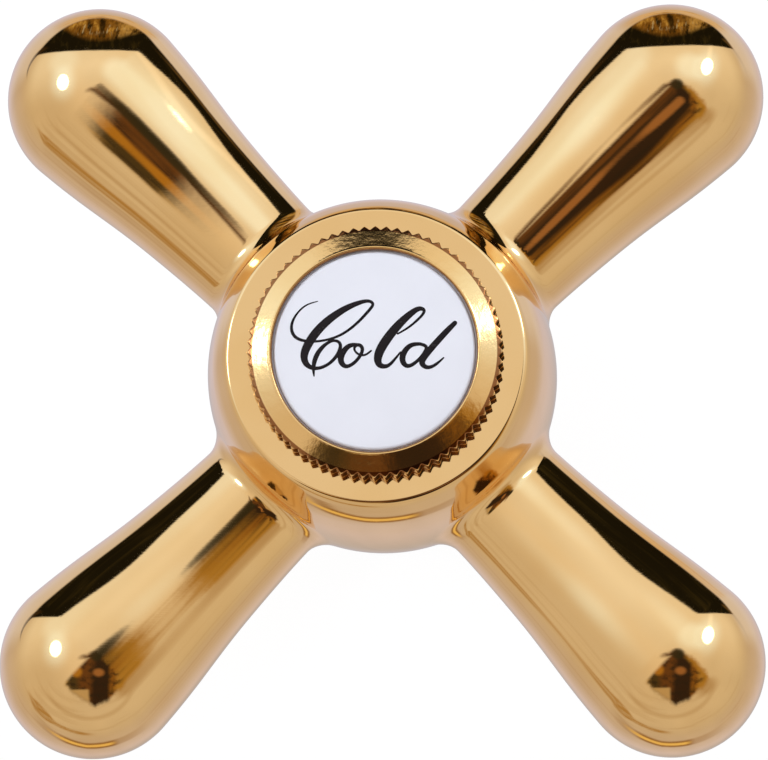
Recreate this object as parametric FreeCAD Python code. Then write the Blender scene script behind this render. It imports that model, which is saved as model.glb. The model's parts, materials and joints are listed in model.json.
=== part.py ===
import FreeCAD, Part
import math
import os

# Cross handle tap head: a polished four-armed handle with a knurled index ring
# and porcelain index, on a non-rising screw-down headwork.
# Millimetres. +Z up out of the handle's top, +X and +Y between the arms.
# Origin: on the spindle's axis, in the plane where the headwork's flange seal
# meets the tap's body. The arms lie along the four diagonals.

V = FreeCAD.Vector
os.makedirs("parts", exist_ok=True)

# ---------------------------------------------------------------- dimensions
arm_z = 16.0            # height of the arms' axes over the seal plane

# arms: round clubs, radius against distance from the spindle's axis
arm_profile = [(12.0, 5.52), (13.6, 5.53), (16.0, 5.62), (17.6, 5.75), (20.0, 5.97),
               (21.6, 6.17), (24.0, 6.44), (25.6, 6.66), (27.2, 6.90), (28.8, 7.13),
               (30.4, 7.32)]
ball_at = 32.54         # centre of the arm's round end
ball_r = 7.45
ball_join = 31.9        # where the club runs into the ball

# hub: outside of the barrel, radius against height over the arms' axes
hub_profile = [(11.95, -8.8), (12.41, -7.5), (13.25, -4.5), (13.78, -1.5),
               (13.92, 1.1), (13.79, 3.7), (13.44, 6.2), (13.23, 7.2), (13.05, 7.92),
               (12.84, 8.53), (12.61, 9.05), (12.34, 9.56), (11.91, 10.26)]
skirt_bottom = -9.0
skirt_rim_r = 11.75
face_r, face_z = 11.58, 10.42          # the flat face ends here
face_corner = 0.419                    # and rolls over into the barrel
root_fillet = 1.2

recess_r, recess_z = 9.40, 5.75        # threaded pocket for the index ring
well_r, well_z = 5.50, 3.00            # pocket for the fixing screw's head
screw_hole_r = 2.20
socket_r, socket_z0, socket_z1 = 5.20, -3.70, 1.00
skirt_in_r, skirt_roof = 10.40, -3.70

# index ring
teeth = 72
knurl_tip, knurl_root = 10.08, 9.77
knurl_z0, knurl_z1 = 10.44, 12.00
lip_top_r, lip_z = 8.32, 12.72
lip_hole = 8.08
seat_r, seat_z = 8.36, 12.00
bezel_skirt_r, bezel_skirt_z = 9.35, 6.40

# porcelain index
disc_r, disc_flange_z0, disc_flange_z1 = 8.30, 9.98, 11.98
disc_face_r, disc_face_z, disc_dome = 7.95, 12.46, 0.16
disc_edge = 0.30

# headwork, heights over the seal plane
thread_r, thread_z = 8.33, -8.5        # G3/8, outside diameter 16.66
thread_chamfer = 0.7
relief_r = 7.60
seal_t, seal_in, seal_out = 1.2, 8.45, 9.70
flange_z1, flange_r = 3.2, 9.90
hex_af, hex_z1 = 17.0, 9.0
top_neck_r, top_neck_z = 6.4, 11.0
low_neck_r, low_neck_z = 7.0, -13.0
guide_r, guide_flat = 5.62, 4.62       # bore for the lift nut, with two flats
chamber_z = 0.9                        # top of the lift nut's chamber
collar_r, collar_bore = 4.90, 5.05
journal_r, journal_bore = 3.90, 3.96

# spindle and lift
lift_thread_r, lift_bore = 3.40, 3.47
lift_lead, lift_travel = 1.5, 3.5      # one turn, whole travel
spline_teeth, spline_tip, spline_root = 20, 3.85, 3.45


# ------------------------------------------------------------------ helpers
def save(name, shape):
    if shape.ShapeType == "Compound" and len(shape.Solids) == 1:
        shape = shape.Solids[0]
    print("%-18s solids %d valid %s volume %9.2f faces %d" % (
        name, len(shape.Solids), shape.isValid(), shape.Volume, len(shape.Faces)))
    shape.exportStep("parts/%s.step" % name)


def lathe(points, dz=0.0):
    """Closed (r, z) outline turned round the Z axis."""
    pts = [V(r, 0, z + dz) for r, z in points]
    wire = Part.makePolygon(pts + [pts[0]])
    return Part.Face(wire).revolve(V(0, 0, 0), V(0, 0, 1), 360)


def tube(r_out, r_in, z0, z1):
    outer = Part.makeCylinder(r_out, z1 - z0, V(0, 0, z0))
    if r_in <= 0:
        return outer
    return outer.cut(Part.makeCylinder(r_in, z1 - z0 + 2, V(0, 0, z0 - 1)))


def hexagon(af, z0, z1, turn=0.0):
    r = af / 2.0 / math.cos(math.pi / 6)
    pts = [V(r * math.cos(math.radians(turn + 60 * i)),
             r * math.sin(math.radians(turn + 60 * i)), z0) for i in range(7)]
    return Part.Face(Part.makePolygon(pts)).extrude(V(0, 0, z1 - z0))


def toothed(n, tip, root, z0, z1, land=0.0):
    """Straight V teeth, or flat-topped ones when land is the share of a pitch."""
    pts = []
    for i in range(n):
        a = 2 * math.pi * i / n
        p = 2 * math.pi / n
        if land > 0:
            for f, r in ((-land, tip), (land, tip), (0.5 - land, root), (0.5 + land, root)):
                pts.append((r, a + f * p))
        else:
            pts += [(tip, a), (root, a + p / 2)]
    vs = [V(r * math.cos(t), r * math.sin(t), z0) for r, t in pts]
    return Part.Face(Part.makePolygon(vs + [vs[0]])).extrude(V(0, 0, z1 - z0))


def spline_edge(pts, t0=None, t1=None):
    curve = Part.BSplineCurve()
    if t0 is not None:
        curve.interpolate(Points=pts, InitialTangent=t0, FinalTangent=t1)
    else:
        curve.interpolate(pts)
    return curve.toShape()


def ring(major, minor, z):
    return Part.makeTorus(major, minor, V(0, 0, z), V(0, 0, 1))


# -------------------------------------------------------------- handle body
def arm(angle):
    """One club: a turned solid about its own axis, laid along the angle."""
    pts = [V(s, 0, r) for s, r in arm_profile]
    join_r = math.sqrt(ball_r ** 2 - (ball_at - ball_join) ** 2)
    slope = (ball_at - ball_join) / join_r
    pts.append(V(ball_join, 0, join_r))
    club = spline_edge(pts, V(1, 0, 0.002), V(1, 0, slope))
    a = math.radians(40)
    mid = V(ball_at + ball_r * math.cos(a), 0, ball_r * math.sin(a))
    ball = Part.Arc(pts[-1], mid, V(ball_at + ball_r, 0, 0)).toShape()
    start = V(3.0, 0, arm_profile[0][1])
    edges = [Part.makeLine(V(3.0, 0, 0), start), Part.makeLine(start, pts[0]), club, ball,
             Part.makeLine(V(ball_at + ball_r, 0, 0), V(3.0, 0, 0))]
    solid = Part.Face(Part.Wire(edges)).revolve(V(0, 0, 0), V(1, 0, 0), 360)
    solid.rotate(V(0, 0, 0), V(0, 0, 1), angle)
    return solid


def barrel():
    """The hub's outside, solid inside, heights over the arms' axes."""
    side = [V(r, 0, z) for r, z in hub_profile]
    roll = math.asin((side[-1].x - face_r) / face_corner)
    curve = spline_edge(side, V(0.37, 0, 1.0), V(-math.cos(roll), 0, math.sin(roll)))
    edges = [Part.makeLine(V(0, 0, skirt_bottom), V(skirt_rim_r, 0, skirt_bottom)),
             Part.Arc(V(skirt_rim_r, 0, skirt_bottom), V(skirt_rim_r + 0.135, 0, skirt_bottom + 0.07),
                      side[0]).toShape(),
             curve]
    edges.append(Part.Arc(side[-1], V(face_r + face_corner * math.sin(roll / 2), 0,
                                      face_z - face_corner * (1 - math.cos(roll / 2))),
                          V(face_r, 0, face_z)).toShape())
    edges.append(Part.makeLine(V(face_r, 0, face_z), V(0, 0, face_z)))
    edges.append(Part.makeLine(V(0, 0, face_z), V(0, 0, skirt_bottom)))
    return Part.Face(Part.Wire(edges)).revolve(V(0, 0, 0), V(0, 0, 1), 360)


hub = barrel()
body = hub
for k in range(4):
    body = body.fuse(arm(45 + 90 * k))
body = body.removeSplitter()

# the arms' roots: every edge that lies on both the barrel and a club
roots = []
for e in body.Edges:
    mids = [e.valueAt(e.FirstParameter + f * (e.LastParameter - e.FirstParameter))
            for f in (0.25, 0.5, 0.75)]
    on_root = True
    for p in mids:
        rho = math.hypot(p.x, p.y)
        along = max(p.x * math.cos(math.radians(45 + 90 * k)) + p.y * math.sin(math.radians(45 + 90 * k))
                    for k in range(4))
        off = math.sqrt(max(0.0, p.x ** 2 + p.y ** 2 + p.z ** 2 - along ** 2))
        if not (12.0 < rho < 14.4 and abs(off - 5.53) < 0.12):
            on_root = False
    if on_root:
        roots.append(e)
print("root edges", len(roots))
body = body.makeFillet(root_fillet, roots)

# pockets, top to bottom
body = body.cut(Part.makeCylinder(recess_r, face_z - recess_z + 1, V(0, 0, recess_z)))
body = body.cut(Part.makeCylinder(well_r, recess_z - well_z + 0.5, V(0, 0, well_z)))
body = body.cut(Part.makeCylinder(screw_hole_r, 6, V(0, 0, 0)))
body = body.cut(Part.makeCylinder(socket_r, socket_z1 - socket_z0 + 0.5, V(0, 0, socket_z0 - 0.5)))
body = body.cut(lathe([(0, skirt_bottom - 1), (10.9, skirt_bottom - 1), (10.9, skirt_bottom),
                       (skirt_in_r, skirt_bottom + 0.6), (skirt_in_r, skirt_roof - 1.2),
                       (skirt_in_r - 1.2, skirt_roof), (0, skirt_roof)]))
body.translate(V(0, 0, arm_z))
save("handle_body", body)

# --------------------------------------------------------------- index ring
z = arm_z
cone = lathe([(0, knurl_z0), (knurl_tip + 0.02, knurl_z0), (knurl_tip + 0.02, knurl_z1),
              (lip_top_r, lip_z), (lip_top_r - 0.10, lip_z + 0.02), (0, lip_z + 0.02)])
head = toothed(teeth, knurl_tip, knurl_root, knurl_z0, lip_z + 1).common(cone)
skirt = tube(bezel_skirt_r, 0, bezel_skirt_z, knurl_z0)
bezel = head.fuse(skirt)
bezel = bezel.cut(Part.makeCylinder(lip_hole, 20, V(0, 0, 0)))
bezel = bezel.cut(Part.makeCylinder(seat_r, seat_z - 0, V(0, 0, 0)))
bezel = bezel.cut(tube(bezel_skirt_r + 1, 8.73, 7.05, 7.87))           # groove for the seal ring
bezel = bezel.cut(tube(8.68, 8.0, 8.60, 9.26))                         # groove for the wire clip
bezel.translate(V(0, 0, z))
save("index_bezel", bezel)

# ---------------------------------------------------------- porcelain index
rf = disc_face_r - disc_edge
sag_r = (rf ** 2 + disc_dome ** 2) / (2 * disc_dome)
e1 = [Part.makePolygon([V(0, 0, disc_face_z), V(0, 0, disc_flange_z0), V(disc_r, 0, disc_flange_z0),
                        V(disc_r, 0, disc_flange_z1), V(disc_face_r, 0, disc_flange_z1),
                        V(disc_face_r, 0, disc_face_z - disc_edge)]),
      Part.Arc(V(disc_face_r, 0, disc_face_z - disc_edge),
               V(rf + disc_edge * math.sqrt(0.5), 0, disc_face_z - disc_edge * (1 - math.sqrt(0.5))),
               V(rf, 0, disc_face_z)).toShape(),
      Part.makeLine(V(rf, 0, disc_face_z), V(0, 0, disc_face_z))]
disc = Part.Face(Part.Wire(Part.Wire(e1).Edges)).revolve(V(0, 0, 0), V(0, 0, 1), 360)
cap = Part.makeSphere(sag_r, V(0, 0, disc_face_z + disc_dome - sag_r)).common(
    Part.makeBox(40, 40, 10, V(-20, -20, disc_face_z)))
disc = disc.fuse(cap)
disc.translate(V(0, 0, z))
save("porcelain_index", disc)

pad = tube(8.26, 3.0, 9.40, 9.96)
pad.translate(V(0, 0, z))
save("index_pad", pad)

# wire clip: an open ring sprung into the groove, its gap towards -Y
clip = ring(8.33, 0.31, 8.93).cut(Part.makeBox(2.4, 3, 2, V(-1.2, -9.9, 8.0)))
clip.translate(V(0, 0, z))
save("index_clip", clip)

seal = ring(9.06, 0.31, 7.46)
seal.translate(V(0, 0, z))
save("bezel_oring", seal)

# ------------------------------------------------------------- fixing screw
head_z = well_z + 1.75
screw = lathe([(0, -7.6), (1.4, -7.6), (1.98, -7.0), (1.98, head_z), (3.55, head_z),
               (3.55, head_z + 1.2), (2.7, head_z + 2.3), (0, head_z + 2.5)])
for turn in (0, 90):
    slot = Part.makeBox(4.4, 0.95, 1.9, V(-2.2, -0.475, head_z + 0.95))
    slot.rotate(V(0, 0, 0), V(0, 0, 1), turn + 20)
    screw = screw.cut(slot)
screw.translate(V(0, 0, z))
save("fixing_screw", screw)

flat = tube(4.3, 2.15, well_z, well_z + 0.8)
flat.translate(V(0, 0, z))
save("screw_washer", flat)

split = tube(3.5, 2.12, well_z + 0.8, well_z + 1.75).cut(
    Part.makeBox(4, 0.55, 3, V(1.0, -0.27, well_z)))
split.translate(V(0, 0, z))
save("spring_washer", split)

# ------------------------------------------------------------ spline insert
insert = tube(socket_r - 0.02, 0, 12.6, arm_z + socket_z1)
teeth_in = toothed(spline_teeth, spline_tip + 0.03, spline_root + 0.03, 12.0, 18.0, 0.13)
insert = insert.cut(teeth_in)
save("spline_insert", insert)

# ------------------------------------------------------------------ spindle
spindle_top = 16.6
spindle = lathe([(0, -12.0), (2.8, -12.0), (lift_thread_r, -11.4), (lift_thread_r, 1.0),
                 (collar_r, 1.0), (collar_r, 2.6), (journal_r, 2.6), (journal_r, 3.7),
                 (3.12, 3.7), (3.12, 5.1), (journal_r, 5.1), (journal_r, 6.6),
                 (3.12, 6.6), (3.12, 8.0), (journal_r, 8.0), (journal_r, 11.32),
                 (3.30, 11.32), (3.30, 12.04), (journal_r, 12.04), (journal_r, 12.5),
                 (0, 12.5)])
top = toothed(spline_teeth, spline_tip, spline_root, 12.5, spindle_top, 0.13)
top = top.common(lathe([(0, 12.0), (4.4, 12.0), (4.4, spindle_top - 0.5), (3.5, spindle_top),
                        (0, spindle_top)]))
spindle = spindle.fuse(top)
spindle = spindle.cut(lathe([(0, 7.4), (2.0, 8.2), (2.0, spindle_top - 0.4),
                             (2.4, spindle_top + 0.01), (2.4, spindle_top + 1), (0, spindle_top + 1)]))
save("spindle", spindle)

orings = Part.makeCompound([ring(3.52, 0.40, 4.40), ring(3.52, 0.40, 7.30)])
save("spindle_orings", orings)

circlip = tube(5.0, 3.34, 11.36, 12.0)
circlip = circlip.cut(Part.makeBox(6, 1.9, 2, V(0, -0.95, 11)))
save("spindle_circlip", circlip)

slip = tube(5.3, 3.98, top_neck_z + 0.02, 11.32)
save("top_washer", slip)

thrust = tube(4.85, 3.98, 2.64, 3.18)
save("thrust_washer", thrust)

# ------------------------------------------------------------------- bonnet
hexa = hexagon(hex_af, flange_z1 - 0.5, hex_z1, 0)
hexa = hexa.common(lathe([(0, 0), (9.4, 0), (9.4, flange_z1), (9.9, flange_z1 + 0.3),
                          (9.9, hex_z1 - 0.62), (8.7, hex_z1), (0, hex_z1)]))
turned = lathe([(0, low_neck_z), (low_neck_r - 0.4, low_neck_z), (low_neck_r, low_neck_z + 0.4),
                (low_neck_r, thread_z - 0.3), (relief_r, thread_z), (thread_r, thread_z + thread_chamfer),
                (thread_r, 0.0), (relief_r, 0.35), (relief_r, seal_t), (flange_r - 0.15, seal_t),
                (flange_r, seal_t + 0.15), (flange_r, flange_z1 - 0.2),
                (flange_r - 0.3, flange_z1), (top_neck_r, flange_z1),
                (top_neck_r, top_neck_z - 0.3), (top_neck_r - 0.3, top_neck_z), (0, top_neck_z)])
bonnet = hexa.fuse(turned)
# spindle's journal, collar chamber and the lift nut's guide
bonnet = bonnet.cut(Part.makeCylinder(journal_bore, 12, V(0, 0, 2)))
bonnet = bonnet.cut(Part.makeCylinder(collar_bore, 3.20 - chamber_z + 0.2, V(0, 0, chamber_z - 0.2)))
guide = Part.makeCylinder(guide_r, chamber_z - low_neck_z + 1, V(0, 0, low_neck_z - 1))
guide = guide.common(Part.makeBox(2 * guide_flat, 20, 40, V(-guide_flat, -10, -30)))
bonnet = bonnet.cut(guide)
save("bonnet", bonnet)

save("flange_seal", tube(seal_out, seal_in, 0.0, seal_t))

# ------------------------------------------------- lift nut and jumper valve
nut_low, nut_high = -16.7, -6.4
nut = lathe([(0, nut_low), (4.4, nut_low), (4.4, low_neck_z - 0.5 + 0.0), (5.55, low_neck_z + 0.1),
             (5.55, nut_high), (0, nut_high)])
nut = nut.common(Part.makeBox(9.10, 20, 40, V(-4.55, -10, -30)))
nut = nut.cut(Part.makeCylinder(lift_bore, 30, V(0, 0, -15.9)))
nut = nut.cut(Part.makeCylinder(1.50, 4, V(0, 0, -17.5)))
save("lift_nut", nut)

plate_z = nut_low
jumper = lathe([(0, plate_z - 4.7), (1.25, plate_z - 4.7), (1.25, plate_z - 1.5), (5.9, plate_z - 1.5),
                (6.0, plate_z - 1.4), (6.0, plate_z - 0.15), (5.85, plate_z), (1.48, plate_z),
                (1.48, plate_z + 0.8), (0, plate_z + 0.8)])
save("jumper", jumper)

washer = lathe([(1.27, plate_z - 1.5), (5.6, plate_z - 1.5), (5.6, plate_z - 3.3),
                (5.1, plate_z - 3.8), (1.27, plate_z - 3.8)])
save("tap_washer", washer)

small = hexagon(4.6, plate_z - 5.4, plate_z - 3.8, 15).cut(
    Part.makeCylinder(1.27, 5, V(0, 0, plate_z - 7)))
small = small.common(lathe([(0, plate_z - 5.4), (2.25, plate_z - 5.4), (2.7, plate_z - 5.1),
                            (2.7, plate_z - 3.8), (0, plate_z - 3.8)]))
save("washer_nut", small)
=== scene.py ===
import json
import math

import bmesh
import bpy
import numpy as np
from mathutils import Matrix, Vector


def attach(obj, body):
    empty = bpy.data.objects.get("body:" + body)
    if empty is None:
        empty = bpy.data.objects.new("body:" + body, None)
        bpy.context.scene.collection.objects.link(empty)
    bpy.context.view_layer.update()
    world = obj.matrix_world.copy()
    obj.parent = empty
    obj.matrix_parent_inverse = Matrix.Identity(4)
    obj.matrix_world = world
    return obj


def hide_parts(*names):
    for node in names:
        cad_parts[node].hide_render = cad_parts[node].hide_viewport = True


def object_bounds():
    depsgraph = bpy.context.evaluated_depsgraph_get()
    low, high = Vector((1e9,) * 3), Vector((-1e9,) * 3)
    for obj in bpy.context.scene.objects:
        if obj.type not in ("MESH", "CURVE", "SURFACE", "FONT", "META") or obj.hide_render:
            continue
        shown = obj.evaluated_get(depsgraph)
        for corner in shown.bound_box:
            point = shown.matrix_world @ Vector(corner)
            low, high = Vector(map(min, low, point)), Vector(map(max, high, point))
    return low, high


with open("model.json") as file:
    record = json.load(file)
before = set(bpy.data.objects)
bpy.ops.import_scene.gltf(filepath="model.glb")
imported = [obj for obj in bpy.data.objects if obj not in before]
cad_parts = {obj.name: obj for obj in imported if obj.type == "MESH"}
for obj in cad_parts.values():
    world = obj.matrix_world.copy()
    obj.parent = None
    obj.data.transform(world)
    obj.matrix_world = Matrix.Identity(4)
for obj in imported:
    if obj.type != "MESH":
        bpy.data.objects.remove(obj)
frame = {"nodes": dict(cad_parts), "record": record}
cad_box = [list(corner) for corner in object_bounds()]

MM = 0.001
ARM_Z = 16.0            # height of the arms' axes, mm
scene = bpy.context.scene

# ------------------------------------------------------------------ camera
right = Vector((0.998366, 0.005210, -0.056913))
up = Vector((0.005446, 0.982633, 0.185480))
back = Vector((0.056891, -0.185487, 0.980998))
cam_data = bpy.data.cameras.new("camera")
cam_data.sensor_fit = "HORIZONTAL"
cam_data.sensor_width = 36.0
cam_data.lens = 357.23
cam_data.clip_start = 0.01
cam_data.clip_end = 20.0
cam = bpy.data.objects.new("camera", cam_data)
scene.collection.objects.link(cam)
pose = Matrix((right, up, back)).transposed().to_4x4()
pose.translation = Vector((0.034735, -0.113088, 0.614089))
cam.matrix_world = pose
scene.camera = cam


# ------------------------------------------------------- node tree shorthand
class Tree:
    """Arithmetic written out as nodes."""

    def __init__(self, tree):
        self.t = tree

    def node(self, kind, **settings):
        n = self.t.nodes.new(kind)
        for k, v in settings.items():
            setattr(n, k, v)
        return n

    def put(self, socket, value):
        if isinstance(value, Val):
            self.t.links.new(value.s, socket)
        elif isinstance(value, bpy.types.NodeSocket):
            self.t.links.new(value, socket)
        else:
            if hasattr(socket.default_value, "__len__") and not hasattr(value, "__len__"):
                value = (value,) * len(socket.default_value)
            if hasattr(value, "__len__") and len(socket.default_value) == 4 and len(value) == 3:
                value = tuple(value) + (1.0,)
            socket.default_value = value

    def math(self, op, *args, clamp=False):
        n = self.node("ShaderNodeMath", operation=op, use_clamp=clamp)
        for i, a in enumerate(args):
            self.put(n.inputs[i], a)
        return Val(self, n.outputs[0])

    def step(self, x, a, b):
        """0 below a, 1 above b, smooth between; falls the other way if a > b."""
        flip = a > b
        n = self.node("ShaderNodeMapRange", interpolation_type="SMOOTHSTEP", clamp=True)
        self.put(n.inputs["Value"], x)
        self.put(n.inputs["From Min"], min(a, b))
        self.put(n.inputs["From Max"], max(a, b))
        self.put(n.inputs["To Min"], 1.0 if flip else 0.0)
        self.put(n.inputs["To Max"], 0.0 if flip else 1.0)
        return Val(self, n.outputs["Result"])

    def mix(self, f, a, b):
        n = self.node("ShaderNodeMix", data_type="RGBA", clamp_factor=True)
        self.put(n.inputs["Factor"], f)
        self.put(n.inputs["A"] if False else n.inputs[6], a)
        self.put(n.inputs["B"] if False else n.inputs[7], b)
        return Val(self, n.outputs[2])

    def scale(self, colour, f):
        n = self.node("ShaderNodeVectorMath", operation="SCALE")
        self.put(n.inputs[0], colour)
        self.put(n.inputs["Scale"], f)
        return Val(self, n.outputs[0])

    def coords(self, which):
        return self.node("ShaderNodeTexCoord").outputs[which]

    def split(self, vector):
        n = self.node("ShaderNodeSeparateXYZ")
        self.put(n.inputs[0], vector)
        return [Val(self, s) for s in n.outputs]

    def join(self, x, y, z):
        n = self.node("ShaderNodeCombineXYZ")
        for s, v in zip(n.inputs, (x, y, z)):
            self.put(s, v)
        return Val(self, n.outputs[0])

    def noise(self, vector, scale, detail=2.0, rough=0.5, distortion=0.0, colour=False):
        n = self.node("ShaderNodeTexNoise")
        self.put(n.inputs["Vector"], vector)
        self.put(n.inputs["Scale"], scale)
        self.put(n.inputs["Detail"], detail)
        self.put(n.inputs["Roughness"], rough)
        self.put(n.inputs["Distortion"], distortion)
        return Val(self, n.outputs["Color" if colour else "Fac"])

    def stretch(self, vector, sx, sy, sz, rot=(0, 0, 0)):
        n = self.node("ShaderNodeMapping")
        self.put(n.inputs["Vector"], vector)
        n.inputs["Scale"].default_value = (sx, sy, sz)
        n.inputs["Rotation"].default_value = rot
        return Val(self, n.outputs[0])

    def bump(self, height, distance, strength=1.0, normal=None):
        n = self.node("ShaderNodeBump")
        n.inputs["Strength"].default_value = strength
        n.inputs["Distance"].default_value = distance
        self.put(n.inputs["Height"], height)
        if normal is not None:
            self.put(n.inputs["Normal"], normal)
        return Val(self, n.outputs[0])


class Val:
    def __init__(self, tree, socket):
        self.n, self.s = tree, socket

    def _b(self, op, a, b):
        return self.n.math(op, a, b)

    def __add__(self, o): return self._b("ADD", self, o)
    def __radd__(self, o): return self._b("ADD", o, self)
    def __sub__(self, o): return self._b("SUBTRACT", self, o)
    def __rsub__(self, o): return self._b("SUBTRACT", o, self)
    def __mul__(self, o): return self._b("MULTIPLY", self, o)
    def __rmul__(self, o): return self._b("MULTIPLY", o, self)
    def __truediv__(self, o): return self._b("DIVIDE", self, o)
    def __pow__(self, o): return self._b("MULTIPLY", self, self) if o == 2 else self._b("POWER", self, o)
    def abs(self): return self.n.math("ABSOLUTE", self)
    def sqrt(self): return self.n.math("SQRT", self)


# ------------------------------------------------------------ studio light
def make_world():
    """A white light tent seen by direction: two soft lamps, a wide dark opening
    on the +Y side, the lens slit overhead. The camera itself sees plain white."""
    world = bpy.data.worlds.new("studio")
    scene.world = world
    world.use_nodes = True
    world.node_tree.nodes.clear()
    t = Tree(world.node_tree)
    x, y, z = t.split(t.coords("Generated"))
    theta = t.math("ARCCOSINE", t.math("MAXIMUM", t.math("MINIMUM", z, 1.0), -1.0)) * (180.0 / math.pi)
    rho = t.math("MAXIMUM", (x * x + y * y).sqrt(), 1e-5)
    qx = theta * (x / rho)          # degrees from the zenith, laid flat
    qy = theta * (y / rho)

    a_y = t.math("ARCTAN2", x, y) * (180.0 / math.pi)               # 0 towards +Y, + towards +X
    a_s = t.math("ARCTAN2", x, 0.0 - y) * (180.0 / math.pi)         # 0 towards -Y, + towards +X

    # the tent's cloth: brightest on the +Y side, warmer towards -Y and +X, cooler below
    up = t.step(y, -0.25, 0.65) * t.step(theta, 112.0, 84.0)
    soft = t.noise(t.join(qx * 0.022, qy * 0.022, 0.0), 1.0, 2.0, 0.5)
    glow = 0.83 - 0.15 * t.step(theta, 8.0, 58.0) + up * 0.20 * t.step(theta, 4.0, 40.0) \
        - 0.07 * t.step(theta, 82.0, 112.0) + 0.08 * t.step(theta, 122.0, 150.0) \
        - 0.16 * t.step(theta, 150.0, 172.0) + (soft - 0.5) * 0.10
    cloth = t.mix(up, (1.0, 0.935, 0.90), (1.0, 1.04, 1.17))
    cloth = t.mix(t.step(qx + qy * 0.6, -30.0, 60.0) * t.step(theta, 30.0, 70.0) * 0.5, cloth, (1.0, 0.96, 0.93))
    cloth = t.mix(t.step(theta, 92.0, 122.0), cloth, (1.0, 0.945, 1.06))
    cloth = t.mix(t.step(theta, 118.0, 142.0), cloth, (0.98, 0.975, 1.30))
    cloth = t.mix(t.step(theta, 150.0, 170.0), cloth, (1.0, 0.985, 1.12))
    light = t.scale(cloth, glow)

    # folds and seams in the cloth on the -Y side
    ring = t.noise(t.join(theta * 0.16, a_s * 0.014, 3.0), 1.0, 3.0, 0.55)
    folds = t.step(ring, 0.50, 0.66) * t.step(qy, 0.0, -45.0) * t.step(theta, 45.0, 62.0) * t.step(theta, 150.0, 112.0)
    light = t.mix(folds * 0.22, light, (0.40, 0.29, 0.17))
    fold = t.step((theta - 77.0 + (a_s * 0.09) ** 2 * 0.35).abs(), 5.5, 0.5) * t.step(a_s.abs(), 66.0, 40.0)
    light = t.mix(fold * 0.34, light, (0.42, 0.31, 0.18))
    wisps = t.noise(t.join(a_s * 0.055, theta * 0.42, 5.0), 1.0, 3.0, 0.6)

    # overhead slit: an unlit room behind it, brown on one side
    ax = (qx - 7.0) / 41.0
    ay = (qy + 25.0) / 33.0
    d = t.math("POWER", ax.abs(), 1.35) + t.math("POWER", ay.abs(), 1.35)
    ragged = t.noise(t.join(qx * 0.06, qy * 0.06, 4.0), 1.0, 3.0, 0.6)
    d = d + (ragged - 0.5) * 0.5
    # brown shade spilling out of the slit's right end
    spill = t.step((((qx - 47.0 - (qy + 35.0) * 0.5) / 15.0) ** 2 + ((qy + 36.0) / 14.0) ** 2).sqrt(), 1.3, 0.3)
    light = t.mix(spill * 0.55, light, (0.36, 0.22, 0.06))
    near_left = t.step(qx - qy, -6.0, 2.5)
    slit = t.step(d, 1.18, 0.86) * t.math("MAXIMUM", near_left, t.step(qy, -3.0, 3.0))
    room = t.mix(t.step(qx, -31.0, -22.0), (0.42, 0.29, 0.10), (0.060, 0.042, 0.014))
    room = t.mix(t.step(qx, -19.0, -8.0), room, (0.125, 0.052, 0.012))
    room = t.mix(t.step(qx - qy * 0.12, 2.0, 12.0), room, (0.024, 0.011, 0.005))
    room = t.mix(t.step(qx, 22.0, 29.0), room, (0.23, 0.105, 0.013))
    room = t.mix(t.step(qx, 30.0, 38.0), room, (0.38, 0.23, 0.055))
    mottled = t.noise(t.join(qx * 0.09, qy * 0.12, 7.0), 1.0, 3.0, 0.6)
    room = t.mix(t.step(mottled, 0.44, 0.66) * 0.75, room, (0.016, 0.010, 0.006))
    rim = t.step(d, 0.60, 0.92) * t.step(qx, 12.0, 24.0) * t.step(qy, -44.0, -30.0)
    room = t.mix(rim * 0.85, room, (0.42, 0.25, 0.045))
    ember = t.step(((qx + 15.0) ** 2 + (qy + 16.0) ** 2).sqrt(), 9.0, 3.5)
    room = t.mix(ember * 0.8, room, (0.50, 0.25, 0.025))
    ember = t.step((((qx - 12.0) / 1.4) ** 2 + (qy + 17.0) ** 2).sqrt(), 7.0, 2.5)
    room = t.mix(ember * 0.75, room, (0.42, 0.20, 0.075))
    light = t.mix(slit * 0.985, light, room)
    # a pale panel in front of its near left corner
    panel = t.step(qy, -36.5, -39.5) * t.step(qx, 1.5, -3.5)
    light = t.mix(panel * slit * 0.80, light, (0.62, 0.50, 0.33))
    lens = t.step((((qx - 8.5) / 1.1) ** 2 + (qy - 3.5) ** 2).sqrt(), 9.0, 4.0)
    light = t.mix(lens * 0.85, light, (0.035, 0.034, 0.022))

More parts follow.
